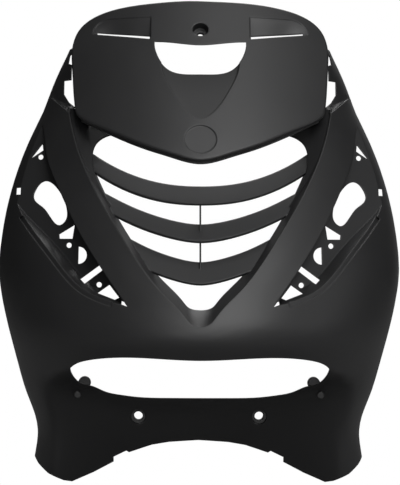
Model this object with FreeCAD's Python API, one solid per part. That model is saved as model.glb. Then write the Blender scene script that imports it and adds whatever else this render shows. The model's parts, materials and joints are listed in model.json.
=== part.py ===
import math
import os

import FreeCAD
import Part

# Front cover of a small scooter, moulded in one piece and built as one solid.
# Millimetres. The front faces -Y, up is +Z, and the origin lies midway between the two
# lower fixing holes. "Depth" below means how far a place lies forward of the XZ plane,
# and a pair of numbers is a place (x, z) on the front view, right-hand side.

V = FreeCAD.Vector
FORWARD = V(0, -1, 0)
BACKWARD = V(0, 1, 0)

WALL = 2.8
OVERLAP = WALL / 2

# Cutters run straight through the cover, from in front of it to behind it, and short ones
# have one length that is more than they need.
FRONT_Y = -330
BACK_Y = 110
SHORT_CUT = 60
LONG_CUT = 300

# Hull: at each height a half ellipse from the side outline round the keel line.
HALF_WIDTH = [(-110, 181), (-45, 182), (-10, 179), (26, 190.4), (61, 200.4), (97, 209.8), (132, 217.6),
              (160, 221), (194, 219), (230, 213.3), (265, 204.3), (301, 191.3), (336, 175.5),
              (372, 161.8), (403, 147.6), (430, 137)]
REAR = [(-110, -14), (0, 8), (100, 16), (250, 2), (430, -22)]
KEEL = [(-110, 66), (-25, 128), (21, 160), (62, 199), (83, 216.5), (98, 220), (123, 212), (168, 194),
        (220, 166), (273, 138), (330, 120), (430, 92)]
HULL_ROWS = [-84, -66, -48, -30, -15, 0, 12, 22, 30, 38, 46, 54, 62, 70, 78, 86, 96, 108, 122, 138, 156,
             176, 198, 222, 248, 274, 300, 326, 352]
HULL_COLUMNS = [8, 16, 24, 32, 40, 47, 53, 58, 62, 66, 71, 77, 84, 90]

# Wheel arch: an upright bowl whose back wall leans, then turns forward into a roof.
ARCH_CENTRE = 250
ARCH_RADIUS = 238
ARCH_BACK = 15
ARCH_LEAN = 0.4
ROOF_AT = 28
ROOF_RISE = 5
ROOF_ROUND = 8
ROOF_ARC = 715
CREST_BLEND = 18

# Lower edge with its feet, and the corners that close it below the cover.
BOTTOM = [(0, -28), (33, -30), (52, -33), (77, -41), (80, -39), (94, -45.5), (94, -51), (116, -62),
          (139, -71), (148, -69), (165, -61), (176, -52), (184, -43)]
BELOW = [(230, -43), (230, -150)]

# Fork opening under the nose, upper and lower edges from the middle outwards.
FORK_TOP = [(0, 71.2), (31, 72.2), (72, 73.7), (103, 71.7), (117, 69.2), (127, 66), (136, 59.5)]
FORK_LOW = [(136, 59.5), (134, 49), (128, 41), (116, 36.8), (103, 30), (85, 25.2), (70, 22.8), (33, 21),
            (0, 20.8)]

# Throat of the grille: crest on the hull and inner lip, from the nose up to the shoulder.
THROAT_DEPTH = 30
THROAT = [((0, 106), (0, 118.5)), ((13, 113), (13.5, 123.5)), ((30, 131.5), (24.5, 136.5)),
          ((48, 152.5), (42.5, 156.5)), ((83, 200.5), (79, 203)), ((101.5, 229), (96.5, 231.5)),
          ((118.5, 262), (112, 264)), ((129, 286), (122, 287.5)), ((136.5, 309.5), (129, 310.5)),
          ((142, 333), (134, 333))]
THROAT_TOP = 372
THROAT_TILT = 0.67
THROAT_ENDS = (350, 238)
THROAT_ROWS = [92, 100, 108, 120, 138, 160, 190, 220, 250, 280, 310, 340, 365]
THROAT_COLUMNS = list(range(-75, 76, 15))

# Web in the upper corner of the grille: a tilted plate with a rounded inner corner.
WEB_PLANE = (252.8, 0.791, -0.904)
WEB_WALL = WALL * 1.3
WEB_EDGE = [(94, 230), (105.5, 249), (113, 267), (115.5, 285), (112.5, 297), (106, 304), (92, 309)]
WEB_CORNERS = [(92, 345), (150, 345), (150, 230)]
WEB_FIELD = [(0, -120), (260, -120), (260, 480), (0, 480)]

# Slats: upper and lower edge at the middle, half length, rise at 100 mm out and its power.
SLATS = [(251.5, 233, 124, 26, 2.25), (211, 193.5, 104, 32.5, 1.7), (171.5, 149.5, 78, 39.5, 1.63)]
SLAT_SETBACK = (33, 20)
SLAT_WALL = 3
SLAT_STEPS = 4

# Rib that joins the slats in the middle, its corners as (depth, height).
RIB = [(134, 236), (116, 240), (154, 162), (168, 162)]
RIB_WALL = 1.8

# Upper panel: tilted, arched from side to side, with a return behind its rounded rim.
PANEL_CROWN = [(250, 159), (323, 122), (371, 95), (422, 66), (470, 39)]
PANEL_ARC = 260
PANEL_RETURN = 36
PANEL_HOLLOW = 90
PANEL_ROUND = 2.5
PANEL_EDGE = [(0, 456), (45, 454.3), (87, 449), (114, 440.5), (126, 433), (134, 424), (139, 412),
              (140.8, 398), (139.6, 380), (137, 350), (135.3, 337), (133.2, 329.5)]
PANEL_LIP = [(128, 324.3), (102, 311.5), (53, 291), (34, 285), (0, 277)]
PANEL_ROWS = [262, 285, 310, 335, 360, 385, 410, 435, 464]
PANEL_COLUMNS = list(range(-150, 151, 25))

# Apron behind the lip: how far it shows below it, how far it reaches up into the wall of the
# return and in at its ends, and where it begins and ends behind the panel.
APRON_DROP = 2.6
APRON_INTO = WALL * 0.45
APRON_ENDS = 0.99
APRON_FRONT = 9
APRON_BACK = 20

# Opening of the panel, the scoop below it and the sloping recesses beside it with their slits.
OPENING_TOP = [(49.5, 409), (32, 408), (0, 405)]
OPENING_LOW = [(49.5, 409), (49, 402), (46, 393), (41, 384.5), (34, 378), (0, 373)]
SCOOP = [(42, 388), (39.8, 373.5), (30.4, 354), (11.6, 328.5), (0, 323)]
SCOOP_DEPTH = 383.6
SCOOP_PER_Z = -0.81
SCOOP_REACH = 30
SCOOP_FIELD = [(-60, 300), (60, 300), (60, 400), (-60, 400)]
SUNK_WALL = WALL * 1.2
RECESS = [(119, 420), (113, 430), (100, 436.5), (54, 438), (54, 414)]
RECESS_TOP = 438
RECESS_FALL = 0.36
RECESS_END = 121
RECESS_FADE = 26
RECESS_ROWS = [404, 414, 424, 434, 441, 450]
RECESS_COLUMNS = list(range(45, 131, 12))
SLIT = [(55, 416), (112.5, 420.8), (112.5, 419), (55, 412.6)]

# Round badge seat and the top screw with its recess.
SEAT_AT = 301
SEAT_RADIUS = 17
SEAT_DEPTH = 1.2
TOP_SCREW_AT = 423
TOP_SCREW_RADIUS = 3.2
TOP_RECESS_RADIUS = 8.5
TOP_RECESS_DEPTH = 10

# Lamp pocket: a leaf with a flat tilted floor, and a ledge along its outer edge.
LEAF_INNER = [(177, 328), (170, 310), (166.5, 288), (154.5, 256.5), (128, 204), (103.5, 166), (75, 126)]
LEAF_OUTER = [(92, 126), (109, 131.5), (127.2, 141), (145, 158), (160.5, 176.5), (179, 198), (194.5, 218),
              (207, 241)]
LEAF_BESIDE = [(250, 262), (250, 340)]
LEAF_FLOOR = (282.3, -0.571, -0.471)
LEAF_FLOOR_WALL = WALL * 1.25
LEAF_SLOPE = 0.35
LEAF_FRONT = 60
LEAF_BACK = (1, 95)
LEAF_ROWS = [105, 115, 130, 150, 180, 210, 240, 270, 300, 335]
LEAF_COLUMNS = [10, 20, 30, 40, 50, 60, 70, 80, 87]
LEDGE_DEPTH = 2.2
LEDGE_WIDTH = 4
LEDGE_CLEAR = 20

# Holes in the floor of a pocket: straight-sided ones, a pear, a half round one and screws.
LEAF_HOLES = [
    [(172, 299), (184, 283.5), (171, 292)],
    [(133.5, 210), (135.5, 195.5), (149.5, 195.5), (150, 200)],
    [(125.5, 153), (105.5, 167.5), (102.5, 162.5), (121, 148.5)],
    [(94.5, 147.5), (84, 134.5), (88.5, 132.5), (106.5, 139)],
    [(195, 243.5), (200.5, 243.5), (200.5, 251), (195, 251)]]
PEAR_HOLE = [(178.5, 246.5), (164.5, 257.5), (150.5, 245), (142.5, 225.5), (143.5, 215.5), (150.5, 210),
             (159, 216.5), (170, 230)]
D_HOLE = (128.5, 178)
D_HOLE_RADIUS = 9
LEAF_SCREWS = [(173.5, 284.5), (139, 188.5), (105.5, 147.5)]
LEAF_SCREW_RADIUS = 2.8

# Lower fixing holes: a recess with a seat, and a sleeve back to the scooter's frame.
LOWER_X = 66.8
LOWER_RADIUS = 4.9
LOWER_RECESS = 8.4
LOWER_FACE = 18
LOWER_ROWS = [-40, -25, -10, 0, 10, 22]
LOWER_COLUMNS = [0, 10, 20, 30, 40]

# Peg and lug beside the fork opening.
PEG = (131.5, 27)
PEG_RADIUS = 4
PEG_LENGTH = 9
LUG = (124, 40)
LUG_RADIUS = 6.7
LUG_LENGTH = 12
LUG_FOOT = 6
LUG_BACK = 9

# Arms from the shoulders up to the panel: their own, flatter, keel line.
ARM_KEEL = [(310, 68), (355, 95), (380, 115), (420, 150)]
ARM = [(139, 338), (149, 354), (149, 369), (140.5, 369), (140.5, 386), (144.5, 388), (143.5, 398),
       (140.5, 400), (140.5, 406), (200, 406), (200, 338)]
ARM_ROWS = [330, 345, 360, 375, 390, 410]
ARM_COLUMNS = [40, 50, 60, 70, 80, 90]
SHOULDER = [(165, 352), (141, 332)]
SHOULDER_TOP = [(160.5, 359), (136, 339)]
SHOULDER_BESIDE = [(240, 411), (240, 480)]
SHOULDER_LIFT = 5
RAMP_WALL = WALL * 1.5


def smooth(pairs):
    """Smooth line through (place, value) pairs."""
    made = Part.BSplineCurve()
    places = [place for place, value in pairs]
    made.interpolate(Points=[V(place, value, 0) for place, value in pairs], Parameters=places)
    return made


half_width = smooth(HALF_WIDTH)
rear = smooth(REAR)
keel = smooth(KEEL)
arm_keel = smooth(ARM_KEEL)
crown = smooth(PANEL_CROWN)


def soft_min(a, b, blend):
    """The smaller of two depths, rounded over where they come close to each other."""
    return (a + b - math.hypot(a - b, blend)) / 2


def rounded(spine, turn, z):
    """Point at an angle from a keel line on the half ellipse at one height."""
    x = half_width.value(z).y * math.sin(math.radians(turn))
    back = rear.value(z).y
    return V(x, -(back + (spine.value(z).y - back) * math.cos(math.radians(turn))), z)


def hull(turn, z):
    """Point of the outer skin: the hull, hollowed by the wheel arch."""
    point = rounded(keel, turn, z)
    above = (z - ROOF_AT - point.x ** 2 / (2 * ROOF_ARC)) / ROOF_ROUND
    back = ARCH_BACK + ARCH_LEAN * z + ROOF_RISE * ROOF_ROUND * math.log1p(math.exp(above))
    bowl = ARCH_CENTRE - (ARCH_CENTRE - back) * math.sqrt(1 - (point.x / ARCH_RADIUS) ** 2)
    return V(point.x, -soft_min(-point.y, bowl, CREST_BLEND), z)


def arm(turn, z):
    """Point of an arm."""
    return rounded(arm_keel, turn, z)


def depth_at(surface, x, z):
    """Depth of the hull or an arm straight behind a place on the front view."""
    turn = math.degrees(math.asin(x / half_width.value(z).y))
    return -surface(turn, z).y


def panel(x, z):
    """Point of the upper panel."""
    return V(x, -(crown.value(z).y - x * x / (2 * PANEL_ARC)), z)


def recess(x, z):
    """Point of the sloping floor of the recess under the top edge."""
    fade = min(max((RECESS_END - x) / RECESS_FADE, 0), 1)
    fade = fade * fade * (3 - 2 * fade)
    return panel(x, z) + V(0, max(RECESS_TOP - z, 0) * RECESS_FALL * fade, 0)


def panel_outward(z, span):
    """Direction square to the middle of the panel, over a span above and below a height."""
    slope = (crown.value(z + span).y - crown.value(z - span).y) / (2 * span)
    return V(0, -1, -slope).normalize()


def layer(surface, columns, rows, inset, shift):
    """Smooth sheet through a surface, moved in along its normals and then straight back."""
    def moved(u, v):
        sideways = surface(u + 0.5, v) - surface(u - 0.5, v)
        upwards = surface(u, v + 0.5) - surface(u, v - 0.5)
        normal = sideways.cross(upwards).normalize()
        return surface(u, v) - normal * inset + V(0, shift, 0)

    sheet = Part.BSplineSurface()
    sheet.interpolate([[moved(u, v) for u in columns] for v in rows])
    return sheet


def slab(front, back):
    """Solid between two sheets."""
    faces = [front.toShape(), back.toShape()]
    u0, u1, v0, v1 = front.bounds()
    a0, a1, b0, b1 = back.bounds()
    sides = [(front.uIso(u0), back.uIso(a0)), (front.uIso(u1), back.uIso(a1)),
             (front.vIso(v0), back.vIso(b0)), (front.vIso(v1), back.vIso(b1))]
    for one, other in sides:
        faces.append(Part.makeRuledSurface(one.toShape(), other.toShape()))
    shell = Part.makeShell(faces)
    shell.sewShape()
    solid = Part.Solid(shell)
    if solid.Volume < 0:
        solid.reverse()
    return solid


def between(surface, columns, rows, front, back):
    """Solid between two layers of one surface, each given by its inset and its shift."""
    return slab(layer(surface, columns, rows, *front), layer(surface, columns, rows, *back))


def panel_slab(front, back):
    """Solid between two layers of the upper panel."""
    return between(panel, PANEL_COLUMNS, PANEL_ROWS, front, back)


def flat(points):
    """Places on the front view as points in one upright plane in front of the cover."""
    return [V(x, FRONT_Y, z) for x, z in points]


def line(points):
    """Straight edges from place to place."""
    return Part.makePolygon(flat(points)).Edges


def straight(points):
    """Edges of a closed outline with straight sides."""
    return line(points + points[:1])


def spline(points):
    """Smooth edge through points in space."""
    made = Part.BSplineCurve()
    made.interpolate(points)
    return made.toShape()


def curve(points):
    """Smooth edge through places on the front view."""
    return spline(flat(points))


def loop(points):
    """Smooth closed edge through places on the front view."""
    made = Part.BSplineCurve()
    made.interpolate(Points=flat(points), PeriodicFlag=True)
    return made.toShape()


def wire(edges):
    """Closed wire from edges in any order."""
    return Part.Wire(Part.__sortEdges__(edges))


def mirrored(points):
    """The same places on the other side, in reverse order."""
    return [(-x, z) for x, z in reversed(points)]


def across(points):
    """Smooth edge through places from the right-hand side to the middle, and on to the left."""
    return curve(points[:-1] + mirrored(points))


def both(shape):
    """A right-hand piece and its mirror image."""
    return [shape, shape.mirror(V(0, 0, 0), V(1, 0, 0))]


def prism(edges):
    """Solid straight through the cover from a closed run of edges."""
    return Part.Face(wire(edges)).extrude(V(0, BACK_Y - FRONT_Y, 0))


def grown(edges, by):
    """Edges of a closed outline moved out all round, its curves redrawn smooth."""
    outline = Part.Face(wire(edges)).makeOffset2D(by).OuterWire
    redrawn = []
    for edge in outline.Edges:
        if not isinstance(edge.Curve, (Part.Line, Part.Circle)):
            edge = spline(edge.discretize(max(5, int(edge.Length / 15))))
        redrawn.append(edge)
    return redrawn


def widened(points, by, closed=False):
    """A run of places, each moved sideways by its own amount, to the right of its direction."""
    moved = []
    last = len(points) - 1
    for i, (x, z) in enumerate(points):
        x0, z0 = points[i - 1 if closed else max(i - 1, 0)]
        x1, z1 = points[(i + 1) % len(points) if closed else min(i + 1, last)]
        length = math.hypot(x1 - x0, z1 - z0)
        moved.append((x + by[i] * (z1 - z0) / length, z - by[i] * (x1 - x0) / length))
    return moved


def evenly(points, by, closed=False):
    """A run of places, all moved sideways by the same amount."""
    return widened(points, [by] * len(points), closed)


def strip(outer, inner):
    """Solid straight through the cover between two runs of places."""
    edges = [curve(outer), curve(inner)]
    for end in (0, -1):
        edges += line([outer[end], inner[end]])
    return prism(edges)


def tilted(plane, corners, thickness):
    """Solid from a tilted plane straight back by a thickness, or forward when it is negative."""
    at, per_x, per_z = plane
    points = [V(x, -(at + per_x * x + per_z * z), z) for x, z in corners]
    return Part.Face(Part.makePolygon(points + points[:1])).extrude(V(0, thickness, 0))


def above_shoulders(lift):
    """Solid over the shoulders, where the hull ends."""
    half = SHOULDER[::-1] + SHOULDER_BESIDE
    return prism(straight([(x, z + lift) for x, z in half + mirrored(half)]))


def hull_skin():
    """Hull with its lower edge, its shoulders and the fork opening cut."""
    columns = [-turn for turn in reversed(HULL_COLUMNS)] + [0] + HULL_COLUMNS
    skin = between(hull, columns, HULL_ROWS, (0, 0), (WALL, 0))
    below = BOTTOM + BELOW
    skin = skin.cut(prism(straight(below + mirrored(below))))
    skin = skin.cut(above_shoulders(0))
    return skin.cut(prism([curve(mirrored(FORK_TOP)[:-1] + FORK_TOP), across(FORK_LOW)]))


def throat(grow):
    """Tapered solid through the grille opening, its sides moved out by an amount."""
    ends = []
    for start in THROAT_ENDS:
        right = []
        for (x, z), (lip_x, lip_z) in THROAT:
            run = V(x - lip_x, -THROAT_DEPTH, z - lip_z)
            out = grow / math.hypot(run.x, run.z)
            point = V(x + run.x * out, -depth_at(hull, x, z), z + run.z * out)
            reach = (start - THROAT_TILT * point.z + point.y) / (THROAT_DEPTH + THROAT_TILT * run.z)
            right.append(point + run * reach)
        top = V(right[-1].x, THROAT_TILT * THROAT_TOP - start, THROAT_TOP)
        left = [V(-p.x, p.y, p.z) for p in reversed(right)]
        lid = Part.makePolygon([right[-1], top, V(-top.x, top.y, top.z), left[0]])
        ends.append(wire([spline(left[:-1] + right)] + lid.Edges))
    return Part.makeLoft(ends, True, True)


def grille_collar():
    """Wall round the grille opening, from the crest back to the inner lip."""
    band = between(hull, THROAT_COLUMNS, THROAT_ROWS, (OVERLAP, 0), (THROAT_DEPTH, 0))
    return band.common(throat(WALL)).cut(above_shoulders(SHOULDER_LIFT))


def web():
    """Plate that closes an upper corner of the grille."""
    plate = prism([curve(WEB_EDGE)] + line([WEB_EDGE[-1]] + WEB_CORNERS + [WEB_EDGE[0]]))
    plate = plate.common(tilted(WEB_PLANE, WEB_FIELD, WEB_WALL)).common(throat(OVERLAP))
    return plate.cut(above_shoulders(SHOULDER_LIFT))


def grille_slats():
    """Curved slats, each leaning back from its lower edge, let into the wall of the throat."""
    grip = throat(OVERLAP)
    slats = []
    for top, low, length, rise, power in SLATS:
        sections = []
        for step in range(-SLAT_STEPS, SLAT_STEPS + 1):
            x = length * step / SLAT_STEPS
            lift = rise * abs(x / 100) ** power
            back = V(x, SLAT_SETBACK[0] - depth_at(hull, x, top + lift), top + lift)
            front = V(x, SLAT_SETBACK[1] - depth_at(hull, x, low + lift), low + lift)
            face = front - back
            behind = V(0, -face.z, face.y).normalize() * SLAT_WALL
            if behind.y < 0:
                behind = -behind
            sections.append(Part.makePolygon([back, front, front + behind, back + behind, back]))
        slats.append(Part.makeLoft(sections, True, False).common(grip))
    return slats


def grille_rib():
    """Thin upright rib that joins the slats in the middle."""
    side = Part.makePolygon([V(-RIB_WALL / 2, -depth, z) for depth, z in RIB + RIB[:1]])
    return Part.Face(side).extrude(V(RIB_WALL, 0, 0))


def floor_depth(x, z):
    """Depth of the pocket floor at a place on the front view."""
    at, per_x, per_z = LEAF_FLOOR
    return at + per_x * x + per_z * z


def on_floor(points, offset):
    """Places on the front view as points at some depth in front of the pocket floor."""
    return [V(x, -(floor_depth(x, z) + offset), z) for x, z in points]


def leaf(grow, back):
    """Solid that fills a pocket from its floor forwards, its walls moved out by an amount."""
    mouth = evenly(LEAF_OUTER, -LEDGE_WIDTH)
    heights = [max(depth_at(hull, x, z) - floor_depth(x, z), 0) for x, z in mouth]
    ends = []
    for offset in (-back, LEAF_FRONT):
        inner = on_floor(evenly(LEAF_INNER, grow), offset)
        slopes = [grow + LEAF_SLOPE * (offset - height) for height in heights]
        outer = on_floor(widened(mouth, slopes), offset)
        beside = on_floor(LEAF_BESIDE, offset)
        edges = [spline(inner), spline(outer)]
        edges += Part.makePolygon([inner[-1], outer[0]]).Edges
        edges += Part.makePolygon([outer[-1]] + beside + [inner[0]]).Edges
        ends.append(wire(edges))
    return Part.makeLoft(ends, True, True)


def leaf_slab(front, back):
    """Solid between two layers of the hull round a pocket."""
    return between(hull, LEAF_COLUMNS, LEAF_ROWS, front, back)


def pocket():
    """Walls of a lamp pocket and of its ledge, then the hollows of both."""
    rim = LEAF_OUTER[:-1]
    inside = evenly(rim, -LEDGE_WIDTH * 2)
    wall = leaf(WALL, LEAF_FLOOR_WALL).common(leaf_slab((OVERLAP, 0), LEAF_BACK))
    ledge_wall = strip(evenly(rim, WALL), inside).common(leaf_slab((OVERLAP, 0), (LEDGE_DEPTH + WALL, 0)))
    ledge = strip(rim, inside).common(leaf_slab((-LEDGE_CLEAR, 0), (LEDGE_DEPTH, 0)))
    return [wall, ledge_wall], [leaf(0, 0), ledge]


def pocket_holes():
    """Cutters for the holes in the floor of a pocket."""
    cutters = [prism(straight(points)) for points in LEAF_HOLES] + [prism([loop(PEAR_HOLE)])]
    for x, z in LEAF_SCREWS:
        cutters.append(Part.makeCylinder(LEAF_SCREW_RADIUS, BACK_Y - FRONT_Y, V(x, FRONT_Y, z), BACKWARD))
    x, z = D_HOLE
    low, side, high = flat([(x, z - D_HOLE_RADIUS), (x - D_HOLE_RADIUS, z), (x, z + D_HOLE_RADIUS)])
    bulge = Part.Arc(low, side, high).toShape()
    cutters.append(prism([bulge] + Part.makePolygon([low, high]).Edges))
    return cutters


def panel_inside(inset):
    """Solid straight through the cover inside the outline of the panel."""
    half = PANEL_EDGE + PANEL_LIP
    return prism([loop(evenly(half + mirrored(half)[1:-1], inset, True))])


def panel_shell():
    """Bare upper panel with its return and its rounded rim."""
    block = panel_inside(0).common(panel_slab((0, 0), (0, PANEL_RETURN)))
    broad = sorted(block.Faces, key=lambda face: face.Area)[-2:]
    front = min(broad, key=lambda face: face.CenterOfMass.y)
    block = block.makeFillet(PANEL_ROUND, front.Edges)
    return block.cut(panel_inside(WALL).common(panel_slab((WALL, 0), (WALL, PANEL_HOLLOW))))


def scoop():
    """Wall and hollow of the scoop below the opening of the panel."""
    x, z = SCOOP[0]
    edges = [across(SCOOP)] + line([(-x, z), (x, z)])
    wall = prism(grown(edges, WALL)).common(panel_slab((OVERLAP, 0), (0, SCOOP_REACH)))
    wall = wall.cut(tilted((SCOOP_DEPTH - SUNK_WALL, 0, SCOOP_PER_Z), SCOOP_FIELD, LONG_CUT))
    hollow = tilted((SCOOP_DEPTH, 0, SCOOP_PER_Z), SCOOP_FIELD, -LONG_CUT)
    return wall, prism(edges).common(hollow)


def top_recess():
    """Wall and hollow of a recess beside the opening of the panel."""
    def sheet(surface, inset, shift):
        return layer(surface, RECESS_COLUMNS, RECESS_ROWS, inset, shift)

    edges = [curve(RECESS[:3])] + line(RECESS[2:] + RECESS[:1])
    wall = prism(grown(edges, WALL)).common(slab(sheet(panel, OVERLAP, 0), sheet(recess, 0, SUNK_WALL)))
    return wall, prism(edges).common(slab(sheet(recess, 0, 0), sheet(recess, 0, -SHORT_CUT)))


def upper_panel():
    """Upper panel with all that is sunk into it and cut through it."""
    scoop_wall, scoop_hollow = scoop()
    recess_wall, recess_hollow = top_recess()
    outward = panel_outward(TOP_SCREW_AT, 7)
    face = panel(0, TOP_SCREW_AT)
    boss = Part.makeCylinder(TOP_RECESS_RADIUS + WALL, TOP_RECESS_DEPTH + WALL, face - outward, -outward)
    screw_recess = Part.makeCylinder(TOP_RECESS_RADIUS, SHORT_CUT, face - outward * TOP_RECESS_DEPTH, outward)
    screw_hole = Part.makeCylinder(TOP_SCREW_RADIUS, SHORT_CUT, face, -outward)
    seat_out = panel_outward(SEAT_AT, 10)
    seat = Part.makeCylinder(SEAT_RADIUS, SHORT_CUT, panel(0, SEAT_AT) - seat_out * SEAT_DEPTH, seat_out)
    opening = prism([across(OPENING_TOP), across(OPENING_LOW)])
    slit = prism(straight(SLIT))
    made = panel_shell().fuse([scoop_wall, boss] + both(recess_wall))
    single = [opening, scoop_hollow, screw_recess, screw_hole, seat]
    return made.cut(single + both(recess_hollow) + both(slit))


def apron():
    """Strip behind the lip of the panel, just showing below it."""
    low = [(x, z - APRON_DROP) for x, z in PANEL_LIP]
    high = [(x * APRON_ENDS, z + APRON_INTO) for x, z in PANEL_LIP]
    edges = [across(low), across(high)]
    for one, other in ((low[0], high[0]), (mirrored(low)[-1], mirrored(high)[-1])):
        edges += line([one, other])
    return prism(edges).common(panel_slab((0, APRON_FRONT), (0, APRON_BACK)))


def shoulder_arm():
    """Arm beside the panel, and the ramp from the shoulder of the hull up to it."""
    plate = between(arm, ARM_COLUMNS, ARM_ROWS, (0, 0), (WALL, 0)).common(prism(straight(ARM)))
    low = [V(x, -depth_at(hull, x, z) + WALL / 3, z) for x, z in SHOULDER]
    high = [V(x, -depth_at(arm, x, z) + WALL / 3, z) for x, z in SHOULDER_TOP]
    edges = [Part.makePolygon(points).Edges[0] for points in (low, high)]
    return plate, Part.makeRuledSurface(*edges).extrude(V(0, RAMP_WALL, 0))


def lower_fixing():
    """Cup with its sleeve at a lower fixing hole, and the cutters for its recess and hole."""
    cup = Part.makeCylinder(LOWER_RECESS + WALL, SHORT_CUT, V(LOWER_X, WALL - LOWER_FACE, 0), FORWARD)
    sleeve = Part.makeCylinder(LOWER_RADIUS + WALL, LOWER_FACE, V(LOWER_X, 0, 0), FORWARD)
    behind = between(hull, LOWER_COLUMNS, LOWER_ROWS, (OVERLAP, 0), (0, SHORT_CUT))
    recess_cut = Part.makeCylinder(LOWER_RECESS, SHORT_CUT, V(LOWER_X, -LOWER_FACE, 0), FORWARD)
    hole = Part.makeCylinder(LOWER_RADIUS, SHORT_CUT, V(LOWER_X, 20, 0), FORWARD)
    return cup.fuse(sleeve).common(behind), [recess_cut, hole]


def peg():
    """Small peg on the panel beside the fork opening."""
    x, z = PEG
    return Part.makeCylinder(PEG_RADIUS, PEG_LENGTH, V(x, WALL - depth_at(hull, x, z), z), FORWARD)


def lug():
    """Round lug that stands up into the corner of the fork opening."""
    x, z = LUG
    face = depth_at(hull, x, z - LUG_FOOT)
    return Part.makeCylinder(LUG_RADIUS, LUG_LENGTH, V(x, WALL + LUG_BACK - face, z), FORWARD)


pocket_walls, pocket_hollows = pocket()
walls = [grille_collar()]
for piece in pocket_walls:
    walls += both(piece)
hollows = [throat(0)]
for piece in pocket_hollows:
    hollows += both(piece)
cover = hull_skin().fuse(walls).cut(hollows)
cover = cover.fuse(both(web())).cut(panel_inside(OVERLAP))

arm_plate, ramp = shoulder_arm()
fixing, fixing_cuts = lower_fixing()
joined = [upper_panel(), apron(), grille_rib()] + both(arm_plate) + both(ramp) + grille_slats()
joined += both(fixing) + both(peg()) + both(lug())
holes = []
for cutter in fixing_cuts + pocket_holes():
    holes += both(cutter)
cover = cover.fuse(joined).cut(holes)

os.makedirs("parts", exist_ok=True)
cover.exportStep("parts/front_cover.step")
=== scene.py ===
import json
import math

import bpy
from mathutils import Euler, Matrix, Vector

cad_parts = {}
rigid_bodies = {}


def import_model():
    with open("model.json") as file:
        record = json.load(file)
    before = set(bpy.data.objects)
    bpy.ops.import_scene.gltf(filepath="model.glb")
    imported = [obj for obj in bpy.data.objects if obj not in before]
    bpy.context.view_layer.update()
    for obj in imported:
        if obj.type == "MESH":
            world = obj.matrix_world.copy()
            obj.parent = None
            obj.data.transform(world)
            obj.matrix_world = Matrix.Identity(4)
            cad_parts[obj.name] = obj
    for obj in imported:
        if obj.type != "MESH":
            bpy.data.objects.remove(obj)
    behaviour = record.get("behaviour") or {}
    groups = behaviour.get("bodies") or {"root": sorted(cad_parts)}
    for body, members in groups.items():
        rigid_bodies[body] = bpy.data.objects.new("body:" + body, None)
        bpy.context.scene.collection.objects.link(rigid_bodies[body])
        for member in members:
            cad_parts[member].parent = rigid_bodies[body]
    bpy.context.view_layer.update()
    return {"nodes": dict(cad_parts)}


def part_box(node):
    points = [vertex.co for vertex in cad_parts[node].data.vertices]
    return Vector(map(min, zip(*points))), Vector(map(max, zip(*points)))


# Studio view of the scooter front cover. Metres; the cover faces -Y and stands upright.

# Camera: almost straight in front, level with the middle of the grille and far away.
EYE_DISTANCE = 2.31
EYE_HEIGHT = 0.1917
AIM_DEPTH = 0.09
ORBIT_DEG = -0.5
ROLL_DEG = 0.2
LENS_MM = 159.8
SENSOR_MM = 36
VIEW_SHIFT = (0.0003, 0.0005)

# Light: a broad lamp high in front on the right, a weak one beside the camera, one at each side,
# one above, one high behind that reaches the slats, and a faint broad one for the rear.
LIGHTS = {
    "key_light": {"place": (0.6, -2.0, 1.9), "size": 1.5, "watts": 48},
    "front_light": {"place": (0.1, -2.8, 0.55), "size": 0.9, "watts": 16},
    "right_light": {"place": (2.2, -0.9, 0.7), "size": 1.0, "watts": 4.5},
    "left_light": {"place": (-2.2, -0.9, 0.6), "size": 1.0, "watts": 0.7},
    "top_light": {"place": (0.1, 0.3, 2.2), "size": 1.2, "watts": 6},
    "back_light": {"place": (0.3, 1.5, 2.6), "size": 1.5, "watts": 30},
    "rear_light": {"place": (0.4, 2.6, 0.9), "size": 2.4, "watts": 7},
}
SKY = 0.022
FLOOR_SIZE = 12
FLOOR_GREY = 0.25
FLOOR_ROUGHNESS = 0.9

# Black moulded plastic with a fine grain, slow changes of gloss and softened edges.
PLASTIC = (0.013, 0.013, 0.0135, 1)
PLASTIC_WORN = (0.018, 0.018, 0.0185, 1)
ROUGHNESS = (0.43, 0.53)
GRAIN_SIZE = 0.0009
GRAIN_HEIGHT = 0.00004
GRAIN_STRENGTH = 0.6
CLOUD_SIZE = 0.06
EDGE_ROUND = 0.0022
EDGE_SAMPLES = 8


def node(tree, kind, place, **settings):
    """New shader node with some of its settings and socket values."""
    made = tree.nodes.new(kind)
    made.location = place
    for name, value in settings.items():
        if name in made.inputs:
            made.inputs[name].default_value = value
        else:
            setattr(made, name, value)
    return made


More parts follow.
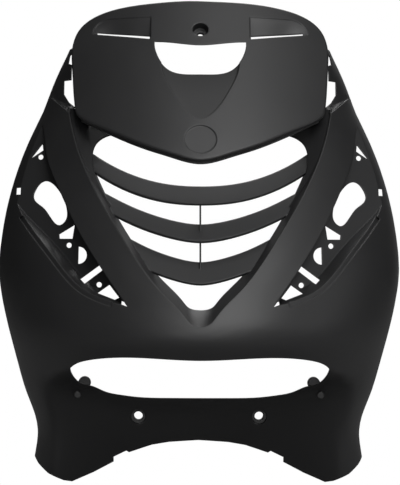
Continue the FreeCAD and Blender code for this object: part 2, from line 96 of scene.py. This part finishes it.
def moulded_plastic():
    """Black plastic with a fine bumpy grain, slow changes of gloss and softened edges."""
    material = bpy.data.materials.new("black_plastic")
    material.use_nodes = True
    tree = material.node_tree
    shader = tree.nodes["Principled BSDF"]
    where = node(tree, "ShaderNodeTexCoord", (-900, 0))
    cloud = node(tree, "ShaderNodeTexNoise", (-650, 150), Scale=1 / CLOUD_SIZE, Detail=4)
    grain = node(tree, "ShaderNodeTexNoise", (-650, -250), Scale=1 / GRAIN_SIZE, Detail=2)
    colour = node(tree, "ShaderNodeMix", (-350, 300), data_type="RGBA")
    colour.inputs[6].default_value = PLASTIC
    colour.inputs[7].default_value = PLASTIC_WORN
    gloss = node(tree, "ShaderNodeMapRange", (-350, 50))
    gloss.inputs["To Min"].default_value = ROUGHNESS[0]
    gloss.inputs["To Max"].default_value = ROUGHNESS[1]
    edges = node(tree, "ShaderNodeBevel", (-650, -500), samples=EDGE_SAMPLES, Radius=EDGE_ROUND)
    bump = node(tree, "ShaderNodeBump", (-350, -250), Strength=GRAIN_STRENGTH, Distance=GRAIN_HEIGHT)
    links = tree.links
    links.new(where.outputs["Object"], cloud.inputs["Vector"])
    links.new(where.outputs["Object"], grain.inputs["Vector"])
    links.new(cloud.outputs["Fac"], colour.inputs["Factor"])
    links.new(cloud.outputs["Fac"], gloss.inputs["Value"])
    links.new(grain.outputs["Fac"], bump.inputs["Height"])
    links.new(edges.outputs["Normal"], bump.inputs["Normal"])
    links.new(colour.outputs[2], shader.inputs["Base Color"])
    links.new(gloss.outputs["Result"], shader.inputs["Roughness"])
    links.new(bump.outputs["Normal"], shader.inputs["Normal"])
    return material


def seen_white(tree, other, output):
    """White to the camera, and something else to all the light that bounces about."""
    path = node(tree, "ShaderNodeLightPath", (-400, 300))
    white = node(tree, "ShaderNodeEmission", (-200, -200), Color=(1, 1, 1, 1), Strength=1)
    mix = node(tree, "ShaderNodeMixShader", (0, 0))
    tree.links.new(path.outputs["Is Camera Ray"], mix.inputs[0])
    tree.links.new(other, mix.inputs[1])
    tree.links.new(white.outputs[0], mix.inputs[2])
    tree.links.new(mix.outputs[0], output.inputs["Surface"])


def floor(height):
    """Plain pale floor under the cover."""
    bpy.ops.mesh.primitive_plane_add(size=FLOOR_SIZE, location=(0, 0, height))
    made = bpy.context.object
    made.name = "floor"
    material = bpy.data.materials.new("floor")
    material.use_nodes = True
    tree = material.node_tree
    pale = tree.nodes["Principled BSDF"]
    pale.inputs["Base Color"].default_value = (FLOOR_GREY, FLOOR_GREY, FLOOR_GREY, 1)
    pale.inputs["Roughness"].default_value = FLOOR_ROUGHNESS
    seen_white(tree, pale.outputs[0], tree.nodes["Material Output"])
    made.data.materials.append(material)


def area_light(name, aim, place, size, watts):
    """Soft square lamp turned towards the cover."""
    data = bpy.data.lights.new(name, "AREA")
    data.shape = "SQUARE"
    data.size = size
    data.energy = watts
    lamp = bpy.data.objects.new(name, data)
    lamp.location = place
    lamp.rotation_euler = (aim - Vector(place)).to_track_quat("-Z", "Y").to_euler()
    bpy.context.scene.collection.objects.link(lamp)


def surroundings():
    """Even grey sky, white to the camera."""
    world = bpy.data.worlds.new("studio")
    bpy.context.scene.world = world
    world.use_nodes = True
    tree = world.node_tree
    sky = tree.nodes["Background"]
    sky.inputs["Color"].default_value = (1, 1, 1, 1)
    sky.inputs["Strength"].default_value = SKY
    seen_white(tree, sky.outputs[0], tree.nodes["World Output"])


def camera():
    """Camera in front of the cover, turned a little round it."""
    data = bpy.data.cameras.new("camera")
    data.lens = LENS_MM
    data.sensor_width = SENSOR_MM
    data.shift_x, data.shift_y = VIEW_SHIFT
    orbit, roll = math.radians(ORBIT_DEG), math.radians(ROLL_DEG)
    made = bpy.data.objects.new("camera", data)
    aside = EYE_DISTANCE * math.sin(orbit)
    ahead = EYE_DISTANCE * math.cos(orbit)
    made.location = (aside, -AIM_DEPTH - ahead, EYE_HEIGHT)
    facing = Euler((math.pi / 2, 0, orbit)).to_matrix()
    made.rotation_euler = (facing @ Euler((0, 0, roll)).to_matrix()).to_euler()
    bpy.context.scene.collection.objects.link(made)
    bpy.context.scene.camera = made


for old in list(bpy.data.objects):
    bpy.data.objects.remove(old)

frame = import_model()
low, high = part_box("front_cover")

cover = frame["nodes"]["front_cover"]
cover.data.materials.clear()
cover.data.materials.append(moulded_plastic())

middle = (low + high) / 2
floor(low.z)
for name, lamp in LIGHTS.items():
    area_light(name, middle, **lamp)
surroundings()
camera()
bpy.context.scene.view_settings.view_transform = "Standard"
